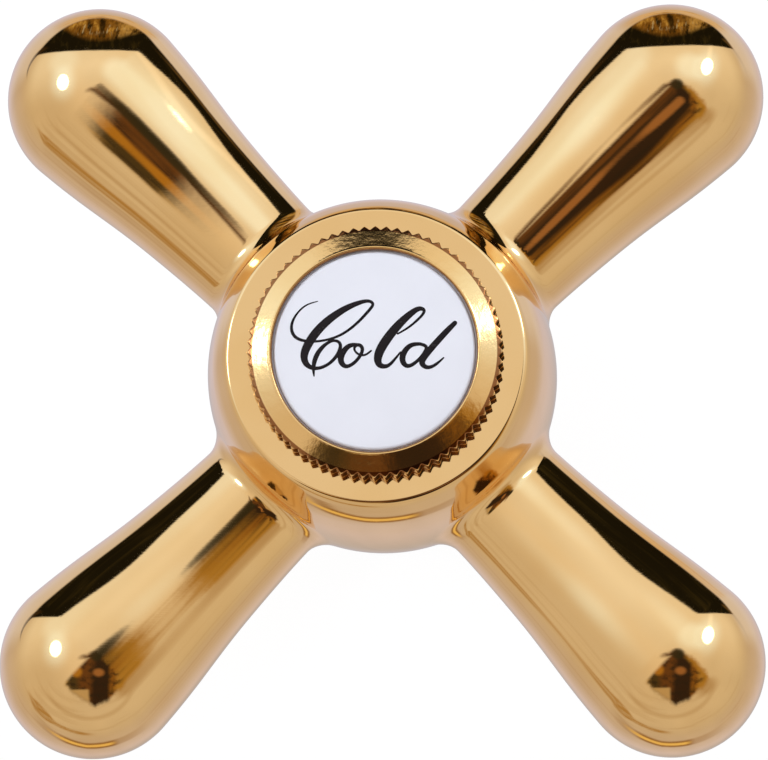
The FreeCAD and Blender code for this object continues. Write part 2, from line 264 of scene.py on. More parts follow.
    # wide opening on the +Y side: black at its near edge, a gilt room deeper in
    near = 54.0 + 0.0021 * qx * qx + 0.045 * qx
    far = 117.0 - 0.0078 * qx * qx + 7.0 * t.step(qx, 20.0, 60.0)
    hole = t.step(qy - near, -1.2, 1.4) * t.step(far - qy, -3.0, 3.5)
    glint = t.noise(t.join(qx * 0.13, qy * 0.035, 2.0), 1.0, 4.0, 0.66)
    deep = t.step(qy - near - 16.0 - qx * qx * 0.010, -5.0, 9.0)
    black = t.mix(t.step(glint, 0.50, 0.80), (0.009, 0.008, 0.004), (0.050, 0.042, 0.016))
    gilt = t.mix(t.step(glint, 0.34, 0.54), (0.020, 0.014, 0.004), (0.20, 0.105, 0.018))
    gilt = t.mix(t.step(glint, 0.52, 0.70), gilt, (0.55, 0.38, 0.11))
    gilt = t.mix(t.step(qx, 8.0, 34.0) * t.step(glint, 0.38, 0.55) * 0.55, gilt, (0.62, 0.47, 0.20))
    inside = t.mix(deep, black, gilt)
    cool = t.noise(t.join(qx * 0.30, qy * 0.045, 8.0), 1.0, 2.0, 0.5)
    cool = t.step(cool, 0.55, 0.68) * t.step((qy - 90.0).abs(), 13.0, 5.0) * t.step(qx.abs(), 34.0, 22.0)
    inside = t.mix(cool * 0.75, inside, (0.46, 0.48, 0.46))
    core = t.step((((qx - 1.0 + (qy - 90.0) * 0.10) / 3.6) ** 2 + ((qy - 97.0) / 13.0) ** 2).sqrt(), 1.5, 0.6)
    inside = t.mix(core * 0.9, inside, (0.014, 0.009, 0.003))
    light = t.mix(hole * 0.998, light, inside)
    # its seams, drawn out to both sides
    edge_l = 107.0 - 0.040 * (a_y + 59.0) ** 2
    seam_l = t.step((theta - edge_l).abs() - (a_y + 72.5) * 0.15, 1.1, -1.2) * t.step(a_y, -73.0, -62.0) * t.step(a_y, -42.0, -46.0)
    edge_r = 106.8 + (a_y - 43.0) * 0.30
    seam_r = t.step((theta - edge_r).abs(), 4.2, 0.5) * t.step(a_y, 72.0, 56.0) * t.step(a_y, 37.0, 41.0)
    light = t.mix(seam_l * 0.92, light, (0.040, 0.026, 0.012))
    light = t.mix(seam_r * 0.45, light, (0.22, 0.15, 0.07))

    # paler cloth past the opening's ends
    ends = t.step(theta, 101.0, 112.0) * t.step(theta, 152.0, 130.0) * t.step(a_y.abs(), 24.0, 36.0) * t.step(a_y.abs(), 76.0, 60.0)
    light = t.mix(ends * (1.0 - hole) * 0.55, light, (0.80, 0.88, 1.25))

    # gilt trimmings low down in the tent
    line = 103.0 + 0.13 * a_s
    broad = t.step((a_s + 49.0).abs(), 16.0, 5.0)
    trim = t.step((theta - line).abs() - broad * 4.5, 4.4, 0.4) * t.step(a_s, -72.0, -58.0) * t.step(a_s, 4.0, -12.0)
    light = t.mix(trim * (0.40 + 0.50 * t.step(wisps, 0.38, 0.60)), light, (0.40, 0.245, 0.065))
    bow = 126.5 - t.math("MAXIMUM", -9.0 - a_s, 0.0) * 0.33
    off = (theta - bow).abs()
    long = t.step(a_s, -62.0, -34.0) * t.step(a_s, 50.0, 20.0)
    light = t.mix(t.step(off, 9.0, 4.5) * long * (0.38 + 0.52 * t.step(a_s, 19.0, 11.0) * t.step(a_s, -34.0, -22.0)),
                  light, (0.30, 0.17, 0.045))
    light = t.mix(t.step(off, 4.0, 1.2) * long * t.step(a_s, 17.0, 9.0) * t.step(a_s, -46.0, -22.0), light, (0.86, 0.67, 0.28))
    streak = t.noise(t.join(a_y * 0.06, theta * 0.30, 9.0), 1.0, 3.0, 0.6)
    top = t.step((theta - 119.0).abs(), 12.0, 4.0) * t.step((a_y - 3.0).abs(), 36.0, 20.0) * (1.0 - hole)
    light = t.mix(top * (0.30 + 0.5 * t.step(streak, 0.35, 0.60)), light, (0.78, 0.58, 0.30))
    light = t.mix(top * t.step(streak, 0.56, 0.70) * 0.7, light, (0.34, 0.19, 0.045))

    # two lamps
    def lamp(cx, cy, rx, ry, lean, power):
        e = (((qx - cx - (qy - cy) * lean) / rx) ** 2 + ((qy - cy) / ry) ** 2).sqrt()
        core = t.step(e, 1.05, 0.70)
        halo = t.step(e, 3.4, 0.8)
        return core * power, halo * halo
    core_l, halo_l = lamp(-41.8, 14.0, 8.1, 10.6, 0.0, 7.0)
    core_r, halo_r = lamp(46.0, 29.8, 7.8, 12.4, 0.16, 7.0)
    lamps = core_l + core_r
    pale = t.step(((qx - 25.0) ** 2 + (qy - 27.0) ** 2).sqrt(), 25.0, 8.0) * 0.85 \
        + t.step(((qx + 42.0) ** 2 + (qy - 42.0) ** 2).sqrt(), 27.0, 8.0) * 0.50
    haze = t.scale((0.13, 0.32, 0.64), t.math("MINIMUM", halo_l + halo_r + pale, 1.1) * (1.0 - hole))
    # a bright seam above the right lamp
    lamps = lamps + t.step((qx - 49.0 - (qy - 50.0) * 0.1).abs(), 5.0, 0.6) * t.step(qy, 66.0, 56.0) * t.step(qy, 32.0, 46.0) * 0.15
    warmth = t.scale((0.95, 1.0, 1.14), lamps)
    add = t.node("ShaderNodeVectorMath", operation="ADD")
    t.put(add.inputs[0], light)
    t.put(add.inputs[1], warmth)
    both = t.node("ShaderNodeVectorMath", operation="ADD")
    t.put(both.inputs[0], add.outputs[0])
    t.put(both.inputs[1], haze)

    warm = t.node("ShaderNodeVectorMath", operation="MULTIPLY")
    t.put(warm.inputs[0], both.outputs[0])
    warm.inputs[1].default_value = (0.987, 0.951, 0.900)

    tent = t.node("ShaderNodeBackground")
    t.put(tent.inputs["Color"], Val(t, warm.outputs[0]))
    plain = t.node("ShaderNodeBackground")
    plain.inputs["Color"].default_value = (1.0, 1.0, 1.0, 1.0)
    plain.inputs["Strength"].default_value = 1.0
    path = t.node("ShaderNodeLightPath")
    pick = t.node("ShaderNodeMixShader")
    t.put(pick.inputs[0], path.outputs["Is Camera Ray"])
    t.put(pick.inputs[1], tent.outputs[0])
    t.put(pick.inputs[2], plain.outputs[0])
    out = t.node("ShaderNodeOutputWorld")
    t.put(out.inputs["Surface"], pick.outputs[0])


make_world()
ceiling = bpy.data.lights.new("ceiling", "AREA")
ceiling.shape = "DISK"
ceiling.size = 0.9
ceiling.energy = 2.4
ceiling.color = (0.955, 0.985, 1.04)
ceiling_o = bpy.data.objects.new("ceiling", ceiling)
ceiling_o.location = (0.0, 0.1, 1.2)
ceiling_o.visible_glossy = False
ceiling_o.visible_camera = False
scene.collection.objects.link(ceiling_o)
scene.view_settings.view_transform = "Standard"
scene.view_settings.look = "None"
scene.view_settings.exposure = 0.0
scene.view_settings.gamma = 1.0


# --------------------------------------------------------------- materials
def surface(name):
    m = bpy.data.materials.new(name)
    m.use_nodes = True
    m.node_tree.nodes.clear()
    t = Tree(m.node_tree)
    b = t.node("ShaderNodeBsdfPrincipled")
    out = t.node("ShaderNodeOutputMaterial")
    t.put(out.inputs["Surface"], b.outputs[0])
    return m, t, b


def gold(name, base, rough, turned=False):
    """Gold plate on polished brass. turned adds the fine rings of a lathe tool, and painted shade in the knurl's
    valleys and the crevice round the porcelain.
    """
    m, t, b = surface(name)
    p = t.coords("Object")
    drift = t.noise(p, 160.0, 2.0, 0.5)
    deep = tuple(c * k for c, k in zip(base, (0.975, 0.95, 0.90)))
    t.put(b.inputs["Base Color"], t.mix(t.step(drift, 0.35, 0.70), base, deep))
    b.inputs["Metallic"].default_value = 1.0
    hairs = t.noise(t.stretch(p, 900.0, 14000.0, 900.0, (0.0, 0.0, 0.6)), 1.0, 2.0, 0.6)
    grime = t.noise(p, 420.0, 4.0, 0.6)
    if turned:
        x, y, z = t.split(p)
        r = (x * x + y * y).sqrt()
        groove = t.noise(t.join(r * 9000.0, 0.0, 0.0), 1.0, 3.0, 0.7)
        t.put(b.inputs["Roughness"], rough + (groove - 0.5) * 0.06 + (grime - 0.5) * 0.05)
        b.inputs["Anisotropic"].default_value = 0.30
        tangent = t.node("ShaderNodeTangent", direction_type="RADIAL", axis="Z")
        t.put(b.inputs["Tangent"], tangent.outputs[0])
        n1 = t.bump(groove, 0.0000010, 0.6)
        n2 = t.bump(t.noise(p, 1500.0, 3.0, 0.6), 0.0000150, 0.8, n1)
        t.put(b.inputs["Normal"], n2)
        # painted shade: base colour darkened in the valleys of the knurl
        wall = t.step(r, 0.00960, 0.00966) * t.step(z, 0.02860, 0.02835) * t.step(z, 0.02610, 0.02640)
        painted_shade = wall * t.step(r, 0.01005, 0.00988)
        # and painted shade in the crevice round the porcelain
        crevice_shade = t.step(r, 0.00822, 0.00814) * t.step(z, 0.02875, 0.02868) * t.step(z, 0.02780, 0.02800)
        painted_shade = t.math("MAXIMUM", painted_shade, crevice_shade * 0.95)
        plate = t.mix(t.step(drift, 0.35, 0.70), base, deep)
        # painted shade: plate colour mixed towards dark brown in the knurl's valleys and the crevice
        t.put(b.inputs["Base Color"], t.mix(painted_shade * 0.9, plate, (0.26, 0.085, 0.025)))
    else:
        t.put(b.inputs["Roughness"], rough + (grime - 0.5) * 0.03 + t.step(hairs, 0.60, 0.74) * 0.06)
        peel = t.noise(p, 700.0, 2.0, 0.5)
        n1 = t.bump(peel, 0.0000045, 0.6)
        t.put(b.inputs["Normal"], t.bump(hairs, 0.0000012, 0.5, n1))
    return m


def metal(name, base, rough, scratch=0.1, aniso=0.0):
    m, t, b = surface(name)
    p = t.coords("Object")
    cloud = t.noise(p, 500.0, 3.0, 0.6)
    dark = tuple(c * 0.78 for c in base)
    t.put(b.inputs["Base Color"], t.mix(t.step(cloud, 0.40, 0.75), base, dark))
    b.inputs["Metallic"].default_value = 1.0
    b.inputs["Anisotropic"].default_value = aniso
    x, y, z = t.split(p)
    rings = t.noise(t.join(z * 16000.0, (x * x + y * y).sqrt() * 9000.0, 0.0), 1.0, 2.0, 0.6)
    t.put(b.inputs["Roughness"], rough + (rings - 0.5) * scratch)
    t.put(b.inputs["Normal"], t.bump(rings, 0.000004, 0.5))
    return m


def rubber(name, base, rough):
    m, t, b = surface(name)
    p = t.coords("Object")
    bloom = t.noise(p, 900.0, 4.0, 0.65)
    pale = tuple(min(1.0, c * 1.8 + 0.02) for c in base)
    t.put(b.inputs["Base Color"], t.mix(t.step(bloom, 0.5, 0.8), base, pale))
    t.put(b.inputs["Roughness"], rough + (bloom - 0.5) * 0.2)
    t.put(b.inputs["Normal"], t.bump(bloom, 0.00003, 0.5))
    b.inputs["Specular IOR Level"].default_value = 0.4
    return m


def fibre(name):
    m, t, b = surface(name)
    p = t.coords("Object")
    x, y, z = t.split(p)
    plies = t.noise(t.join(x * 300.0, y * 300.0, z * 9000.0), 1.0, 2.0, 0.6)
    flecks = t.noise(p, 3500.0, 3.0, 0.6)
    base = t.mix(t.step(plies, 0.35, 0.65), (0.30, 0.045, 0.028), (0.20, 0.028, 0.020))
    t.put(b.inputs["Base Color"], t.mix(t.step(flecks, 0.55, 0.75) * 0.6, base, (0.42, 0.13, 0.08)))
    t.put(b.inputs["Roughness"], 0.62 + (flecks - 0.5) * 0.25)
    t.put(b.inputs["Normal"], t.bump(plies, 0.00003, 0.6))
    return m


def plastic(name, base, rough):
    m, t, b = surface(name)
    p = t.coords("Object")
    cloud = t.noise(p, 250.0, 3.0, 0.5)
    t.put(b.inputs["Base Color"], t.mix(cloud, base, tuple(c * 0.9 for c in base)))
    t.put(b.inputs["Roughness"], rough + (cloud - 0.5) * 0.1)
    t.put(b.inputs["Normal"], t.bump(t.noise(p, 4000.0, 2.0), 0.000006, 0.4))
    return m


def glaze(name):
    """White glazed porcelain: a soft body under a clear glassy coat."""
    m, t, b = surface(name)
    p = t.coords("Object")
    cloud = t.noise(p, 180.0, 3.0, 0.5)
    t.put(b.inputs["Base Color"], t.mix(t.step(cloud, 0.35, 0.75), (0.885, 0.912, 0.968), (0.865, 0.892, 0.948)))
    t.put(b.inputs["Roughness"], 0.20 + (cloud - 0.5) * 0.04)
    b.inputs["Coat Weight"].default_value = 0.8
    b.inputs["Coat Roughness"].default_value = 0.035
    b.inputs["Specular IOR Level"].default_value = 0.4
    t.put(b.inputs["Normal"], t.bump(t.noise(p, 420.0, 2.0), 0.000006, 0.4))
    return m


def enamel(name):
    m, t, b = surface(name)
    p = t.coords("Object")
    cloud = t.noise(p, 1500.0, 3.0, 0.6)
    t.put(b.inputs["Base Color"], t.mix(cloud, (0.006, 0.005, 0.007), (0.014, 0.010, 0.011)))
    t.put(b.inputs["Roughness"], 0.26 + (cloud - 0.5) * 0.1)
    b.inputs["Specular IOR Level"].default_value = 0.20
    t.put(b.inputs["Normal"], t.bump(cloud, 0.000004, 0.5))
    return m


GOLD = (0.942, 0.652, 0.300)
MAT = {
    "gold_plate": gold("gold_plate", GOLD, 0.045),
    "gold_turned": gold("gold_turned", (0.937, 0.626, 0.262), 0.105, turned=True),
    "porcelain": glaze("porcelain"),
    "enamel_black": enamel("enamel_black"),
    "foam": rubber("foam", (0.30, 0.30, 0.29), 0.8),
    "spring_steel": metal("spring_steel", (0.40, 0.40, 0.42), 0.30),
    "stainless": metal("stainless", (0.66, 0.66, 0.67), 0.24),
    "rubber_black": rubber("rubber_black", (0.022, 0.022, 0.023), 0.55),
    "brass_raw": metal("brass_raw", (0.78, 0.56, 0.27), 0.22),
    "nylon": plastic("nylon", (0.84, 0.82, 0.76), 0.42),
    "fibre_red": fibre("fibre_red"),
}


# ------------------------------------------------------------ mesh helpers
def spline(xs, ys, d0=None, d1=None):
    """Cubic spline through points; end slopes given or natural. Returns value and slope."""
    xs, ys = np.asarray(xs, float), np.asarray(ys, float)
    n = len(xs)
    h = np.diff(xs)
    a = np.zeros((n, n))
    r = np.zeros(n)
    for i in range(1, n - 1):
        a[i, i - 1], a[i, i], a[i, i + 1] = h[i - 1], 2 * (h[i - 1] + h[i]), h[i]
        r[i] = 6 * ((ys[i + 1] - ys[i]) / h[i] - (ys[i] - ys[i - 1]) / h[i - 1])
    if d0 is None:
        a[0, 0] = 1
    else:
        a[0, 0], a[0, 1] = 2 * h[0], h[0]
        r[0] = 6 * ((ys[1] - ys[0]) / h[0] - d0)
    if d1 is None:
        a[-1, -1] = 1
    else:
        a[-1, -1], a[-1, -2] = 2 * h[-1], h[-1]
        r[-1] = 6 * (d1 - (ys[-1] - ys[-2]) / h[-1])
    m = np.linalg.solve(a, r)

    def value(x):
        x = np.asarray(x, float)
        k = np.clip(np.searchsorted(xs, x) - 1, 0, n - 2)
        t0, t1, hh = x - xs[k], xs[k + 1] - x, h[k]
        v = (m[k] * t1 ** 3 + m[k + 1] * t0 ** 3) / (6 * hh) \
            + (ys[k] / hh - m[k] * hh / 6) * t1 + (ys[k + 1] / hh - m[k + 1] * hh / 6) * t0
        s = (-m[k] * t1 ** 2 + m[k + 1] * t0 ** 2) / (2 * hh) \
            - (ys[k] / hh - m[k] * hh / 6) + (ys[k + 1] / hh - m[k + 1] * hh / 6)
        return v, s
    return value


def rounded(points, steps=4, reach=0.0):
    """Outline of (r, z, corner radius) corners -> rows of (r, z, normal r, normal z).
    The outward side is on the right hand of the travel. Long runs are divided every reach mm."""
    pts = [np.array(p[:2], float) for p in points]
    rad = [p[2] if len(p) > 2 else 0.0 for p in points]
    rows = []
    last = len(pts) - 1
    prev_end = pts[0]

    def run(a, b, n, ends=True):
        k = max(1, int(np.linalg.norm(b - a) / reach)) if reach else 1
        for i in range(0 if ends else 1, k + 1):
            q = a + (b - a) * i / k
            rows.append((q[0], q[1], n[0], n[1]))

    for i in range(1, last):
        a, p, b = pts[i - 1], pts[i], pts[i + 1]
        u = (p - a) / np.linalg.norm(p - a)
        w = (b - p) / np.linalg.norm(b - p)
        nu, nw = np.array([u[1], -u[0]]), np.array([w[1], -w[0]])
        turn = math.acos(max(-1.0, min(1.0, float(u @ w))))
        c = max(rad[i], 0.01)
        tl = c * math.tan(turn / 2)
        room = 0.48 * min(np.linalg.norm(p - a), np.linalg.norm(b - p))
        if tl > room:
            c, tl = c * room / tl, room
        s, e = p - u * tl, p + w * tl
        run(prev_end, s, nu)
        side = 1.0 if (u[0] * w[1] - u[1] * w[0]) > 0 else -1.0
        centre = s - side * nu * c
        for k in range(1, steps):
            ang = turn * k / steps * side
            ca, sa = math.cos(ang), math.sin(ang)
            n = np.array([nu[0] * ca - nu[1] * sa, nu[0] * sa + nu[1] * ca])
            q = centre + side * n * c
            rows.append((q[0], q[1], n[0], n[1]))
        prev_end = e
    a, b = prev_end, pts[last]
    u = (b - a) / np.linalg.norm(b - a)
    run(a, b, np.array([u[1], -u[0]]))
    return np.array(rows)


class Mesh:
    """Collects vertices, faces and vertex normals, in mm."""

    def __init__(self):
        self.v, self.n, self.f, self.count = [], [], [], 0

    def add(self, verts, normals):
        start = self.count
        self.v.append(np.asarray(verts, float).reshape(-1, 3))
        self.n.append(np.asarray(normals, float).reshape(-1, 3))
        self.count += len(self.v[-1])
        return start

    def faces(self, rows):
        self.f.extend(rows)

    def grid(self, verts, normals, wrap_rows=False):
        """verts (columns round, rows along, 3); closed round the columns."""
        m, k = verts.shape[:2]
        s = self.add(verts, normals)
        i = np.arange(m)[:, None]
        rows = k if wrap_rows else k - 1
        j = np.arange(rows)[None, :]
        i2, j2 = (i + 1) % m, (j + 1) % k
        q = np.stack([s + i * k + j, s + i2 * k + j, s + i2 * k + j2, s + i * k + j2], -1)
        self.faces(q.reshape(-1, 4).tolist())
        return s

    def build(self, name, node, body, slot, replaces, weld=0.0, own_normals=True):
        v, n = np.concatenate(self.v), np.concatenate(self.n)
        mesh = bpy.data.meshes.new(name)
        mesh.from_pydata((v * MM).tolist(), [], self.f)
        mesh.validate(clean_customdata=False)
        mesh.polygons.foreach_set("use_smooth", np.ones(len(mesh.polygons), bool))
        mesh.update()
        if own_normals:
            auto = np.zeros(len(mesh.vertices) * 3, np.float32)
            mesh.vertex_normals.foreach_get("vector", auto)
            auto = auto.reshape(-1, 3)
            bad = np.linalg.norm(n, axis=1) < 0.5
            n[bad] = auto[bad]
            n /= np.linalg.norm(n, axis=1)[:, None] + 1e-12
            mesh.normals_split_custom_set_from_vertices(n.tolist())
        o = bpy.data.objects.new(name, mesh)
        scene.collection.objects.link(o)
        mesh.materials.append(MAT[slot])
        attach(o, body)
        if replaces:
            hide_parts(*replaces)
        return o


def turn(rows, seg, z0=0.0):
    """Rows of (r, z, nr, nz) turned round Z: verts and normals, (seg, rows, 3)."""
    a = 2 * math.pi * np.arange(seg) / seg
    c, s = np.cos(a)[:, None], np.sin(a)[:, None]
    r, z, nr, nz = (rows[:, k][None, :] for k in range(4))
    one = np.ones_like(c)
    v = np.stack([r * c, r * s, (z + z0) * one], -1)
    n = np.stack([nr * c, nr * s, nz * one], -1)
    return v, n


def close_loop(points, steps=4, reach=0.0):
    """A closed outline: starts and ends in the middle of its first run."""
    p0, p1 = np.array(points[0][:2], float), np.array(points[1][:2], float)
    mid = tuple((p0 + p1) / 2) + (0.0,)
    rows = rounded([mid] + list(points[1:]) + [points[0], mid], steps, reach)
    return rows[:-1]


# ------------------------------------------------------------- handle body
ARM_PROFILE = [(12.0, 5.512), (14.0, 5.549), (16.0, 5.649), (18.0, 5.794), (20.0, 5.963),
               (22.0, 6.161), (24.0, 6.413), (26.0, 6.709), (28.0, 7.001), (30.0, 7.243)]
BALL_AT, BALL_R, BALL_JOIN = 32.54, 7.45, 31.9
HUB_PROFILE = [(-8.8, 11.95), (-7.5, 12.41), (-4.5, 13.25), (-1.5, 13.78),
               (1.1, 13.92), (3.7, 13.79), (6.2, 13.44), (7.2, 13.23), (7.92, 13.05),
               (8.53, 12.84), (9.05, 12.61), (9.56, 12.34), (10.26, 11.91)]
FACE_EDGE, ROLL = 11.58, 0.419
roll = math.asin((HUB_PROFILE[-1][1] - FACE_EDGE) / ROLL)
ROOT = 1.2
Z_TOP, Z_LOW = 8.0, -7.8

join_r = math.sqrt(BALL_R ** 2 - (BALL_AT - BALL_JOIN) ** 2)
club = spline([p[0] for p in ARM_PROFILE] + [BALL_JOIN], [p[1] for p in ARM_PROFILE] + [join_r],
              0.002, (BALL_AT - BALL_JOIN) / join_r)
hub = spline([p[0] for p in HUB_PROFILE], [p[1] for p in HUB_PROFILE], 0.37, -1.0 / math.tan(roll))


def f_handle(x, y, z):
    """Signed distance, near enough, to the arms rounded into the hub. mm, heights over the arms' axes."""
    ax, ay = np.abs(x), np.abs(y)
    s = (ax + ay) * math.sqrt(0.5)
    off = np.sqrt(((ax - ay) ** 2) * 0.5 + z * z)
    r, dr = club(np.clip(s, 12.0, BALL_JOIN))
    stem = (off - r) / np.sqrt(1 + dr * dr)
    ball = np.sqrt((s - BALL_AT) ** 2 + off * off) - BALL_R
    arm = np.where(s > BALL_JOIN, ball, stem)
    hr, dh = hub(np.clip(z, -8.8, 10.2))
    barrel = (np.sqrt(x * x + y * y) - hr) / np.sqrt(1 + dh * dh)
    return np.maximum(ROOT, np.minimum(arm, barrel)) \
        - np.sqrt(np.maximum(ROOT - arm, 0) ** 2 + np.maximum(ROOT - barrel, 0) ** 2)


def grad(f, p, h=0.004):
    g = np.zeros_like(p)
    for k in range(3):
        e = np.zeros(3)
        e[k] = h
        g[:, k] = (f(*(p + e).T) - f(*(p - e).T)) / (2 * h)
    return g


def surface_net(f, lo, hi, h):
    """Quads on the zero level of f, outward, on a regular grid."""
    n = [int(math.ceil((b - a) / h)) + 1 for a, b in zip(lo, hi)]
    axes = [lo[i] + h * np.arange(n[i]) for i in range(3)]
    F = f(*np.meshgrid(*axes, indexing="ij"))
    acc = np.zeros((n[0] - 1, n[1] - 1, n[2] - 1, 3))
    cnt = np.zeros((n[0] - 1, n[1] - 1, n[2] - 1))
    crossings = []
    for ax in range(3):
        o1, o2 = [k for k in range(3) if k != ax]
        lo_s, hi_s = [slice(None)] * 3, [slice(None)] * 3
        lo_s[ax], hi_s[ax] = slice(0, n[ax] - 1), slice(1, n[ax])
        a, b = F[tuple(lo_s)], F[tuple(hi_s)]
        i = np.argwhere((a < 0) != (b < 0))
        va, vb = a[tuple(i.T)], b[tuple(i.T)]
        pos = i.astype(float)
        pos[:, ax] += va / (va - vb)
        for d1 in (0, 1):
            for d2 in (0, 1):
                c = i.copy()
                c[:, o1] -= d1
                c[:, o2] -= d2
                ok = (c[:, o1] >= 0) & (c[:, o2] >= 0) & (c[:, o1] < n[o1] - 1) & (c[:, o2] < n[o2] - 1)
                np.add.at(acc, tuple(c[ok].T), pos[ok])
                np.add.at(cnt, tuple(c[ok].T), 1)
        crossings.append((ax, i, va < 0))
    cells = np.argwhere(cnt > 0)
    index = -np.ones(cnt.shape, int)
    index[tuple(cells.T)] = np.arange(len(cells))
    v = acc[tuple(cells.T)] / cnt[tuple(cells.T)][:, None] * h + np.array(lo)
    quads = []
    for ax, i, inside_low in crossings:
        o1, o2 = [(1, 2), (2, 0), (0, 1)][ax]
        ok = (i[:, o1] > 0) & (i[:, o2] > 0) & (i[:, o1] < n[o1] - 1) & (i[:, o2] < n[o2] - 1)
        i, low = i[ok], inside_low[ok]
        corner = []
        for d1, d2 in ((1, 1), (0, 1), (0, 0), (1, 0)):
            c = i.copy()
            c[:, o1] -= d1
            c[:, o2] -= d2
            corner.append(index[tuple(c.T)])
        q = np.stack(corner, -1)
        q[~low] = q[~low][:, ::-1]
        quads.append(q)
    return v, np.concatenate(quads)


def make_handle():
    h = 0.33
    lim = (BALL_AT + BALL_R) * math.sqrt(0.5) + 2.4
    v, q = surface_net(f_handle, (-lim, -lim, -8.6), (lim, lim, 8.6), h)
    # settle: even the quads out, then back on the surface
    edges = np.concatenate([q[:, [0, 1]], q[:, [1, 2]], q[:, [2, 3]], q[:, [3, 0]]])
    for step in range(4):
        acc = np.zeros_like(v)
        cnt = np.zeros(len(v))
        np.add.at(acc, edges[:, 0], v[edges[:, 1]])
        np.add.at(acc, edges[:, 1], v[edges[:, 0]])
        np.add.at(cnt, edges[:, 0], 1)
        np.add.at(cnt, edges[:, 1], 1)
        inner = np.abs(v[:, 2]) < 8.3
        v[inner] = 0.5 * v[inner] + 0.5 * (acc / cnt[:, None])[inner]
        for k in range(3):
            g = grad(f_handle, v)
            v -= (f_handle(*v.T) / (g ** 2).sum(1))[:, None] * g
    for level in (Z_TOP, Z_LOW):
        near = np.abs(v[:, 2] - level) < 0.09
        v[near, 2] = level
    me = bpy.data.meshes.new("tmp")
    me.from_pydata(v.tolist(), [], q.tolist())
    bm = bmesh.new()
    bm.from_mesh(me)
    bpy.data.meshes.remove(me)
    for level, sign in ((Z_TOP, 1), (Z_LOW, -1)):
        geom = bm.verts[:] + bm.edges[:] + bm.faces[:]
        bmesh.ops.bisect_plane(bm, geom=geom, dist=1e-4, plane_co=(0, 0, level),
                               plane_no=(0, 0, sign), clear_outer=True)
    loose = [x for x in bm.verts if not x.link_faces]
    bmesh.ops.delete(bm, geom=loose, context="VERTS")
    bm.verts.ensure_lookup_table()
    bm.verts.index_update()
    v = np.array([x.co[:] for x in bm.verts])
    faces = [[x.index for x in f.verts] for f in bm.faces]
    rims = {}
    for level in (Z_TOP, Z_LOW):
        ids = sorted({x.index for e in bm.edges if e.is_boundary for x in e.verts
                      if abs(x.co.z - level) < 1e-3})
        ids.sort(key=lambda i: math.atan2(v[i][1], v[i][0]) % (2 * math.pi))
        R = float(hub(level)[0])
        for i in ids:
            a = math.atan2(v[i][1], v[i][0])
            v[i] = (R * math.cos(a), R * math.sin(a), level)
        rims[level] = ids
    bm.free()
    n = grad(f_handle, v)
    n /= np.linalg.norm(n, axis=1)[:, None]
    v[:, 2] += ARM_Z
    m = Mesh()
    base = m.add(v, n)
    m.faces(faces)

    # the rest of the hub is turned: over the top, down the pockets, out under the skirt
    zs = np.linspace(Z_TOP + 0.3, 10.26, 9)
    rr, dr = hub(zs)
    k = np.sqrt(1 + dr * dr)
    side_top = np.stack([rr, zs, 1 / k, -dr / k], -1)
    tilt = roll * np.linspace(1.0, 0.0, 8)[1:]
    corner = np.stack([FACE_EDGE + ROLL * np.sin(tilt), 10.42 - ROLL * (1 - np.cos(tilt)), np.sin(tilt), np.cos(tilt)], -1)
    over = rounded([(FACE_EDGE - 0.02, 10.42), (9.42, 10.42, 0.10), (9.40, 10.10, 0.02)], 6, 0.5)
    turns = 320
    v1, n1 = turn(np.concatenate([side_top, corner, over]), turns, ARM_Z)
    # thread of the pocket
    tz = np.arange(10.05, 6.02, -0.0625)
    a = 2 * math.pi * np.arange(turns) / turns
    ph = (tz[None, :] + a[:, None] / (2 * math.pi) * 1.0) % 1.0
    tooth = np.clip((0.5 - np.abs(ph - 0.5)) * 2.6 - 0.35, 0, 1)
    fade = np.clip((9.95 - tz) / 0.5, 0, 1) * np.clip((tz - 6.1) / 0.5, 0, 1)
    tr_ = 9.40 + 0.30 * tooth * fade[None, :]
    v2 = np.stack([tr_ * np.cos(a)[:, None], tr_ * np.sin(a)[:, None],
                   np.broadcast_to(tz + ARM_Z, tr_.shape)], -1)
    n2 = np.zeros_like(v2)
    inside = rounded([(9.40, 6.0), (9.40, 5.75, 0.05), (5.65, 5.75, 0.08), (5.50, 5.60, 0.05), (5.50, 3.0, 0.12),
                      (2.20, 3.0, 0.06), (2.20, 1.0, 0.04), (5.20, 1.0, 0.05), (5.20, -3.70, 0.06),
                      (9.20, -3.70, 0.2), (10.40, -4.90, 0.2), (10.40, -8.40, 0.1), (10.90, -9.0, 0.06),
                      (11.75, -9.0, 0.10), (11.93, -8.86, 0.06), (12.02, -8.60, 0.1)], 4)
    zs = np.linspace(-8.45, Z_LOW - 0.3, 3)
    rr, dr = hub(zs)
    k = np.sqrt(1 + dr * dr)
    side_low = np.stack([rr, zs, 1 / k, -dr / k], -1)
    v3, n3 = turn(np.concatenate([inside[:-1], side_low]), turns, ARM_Z)
    s = m.grid(np.concatenate([v1, v2, v3], 1), np.concatenate([n1, n2, n3], 1))
    rows = v1.shape[1] + v2.shape[1] + v3.shape[1]

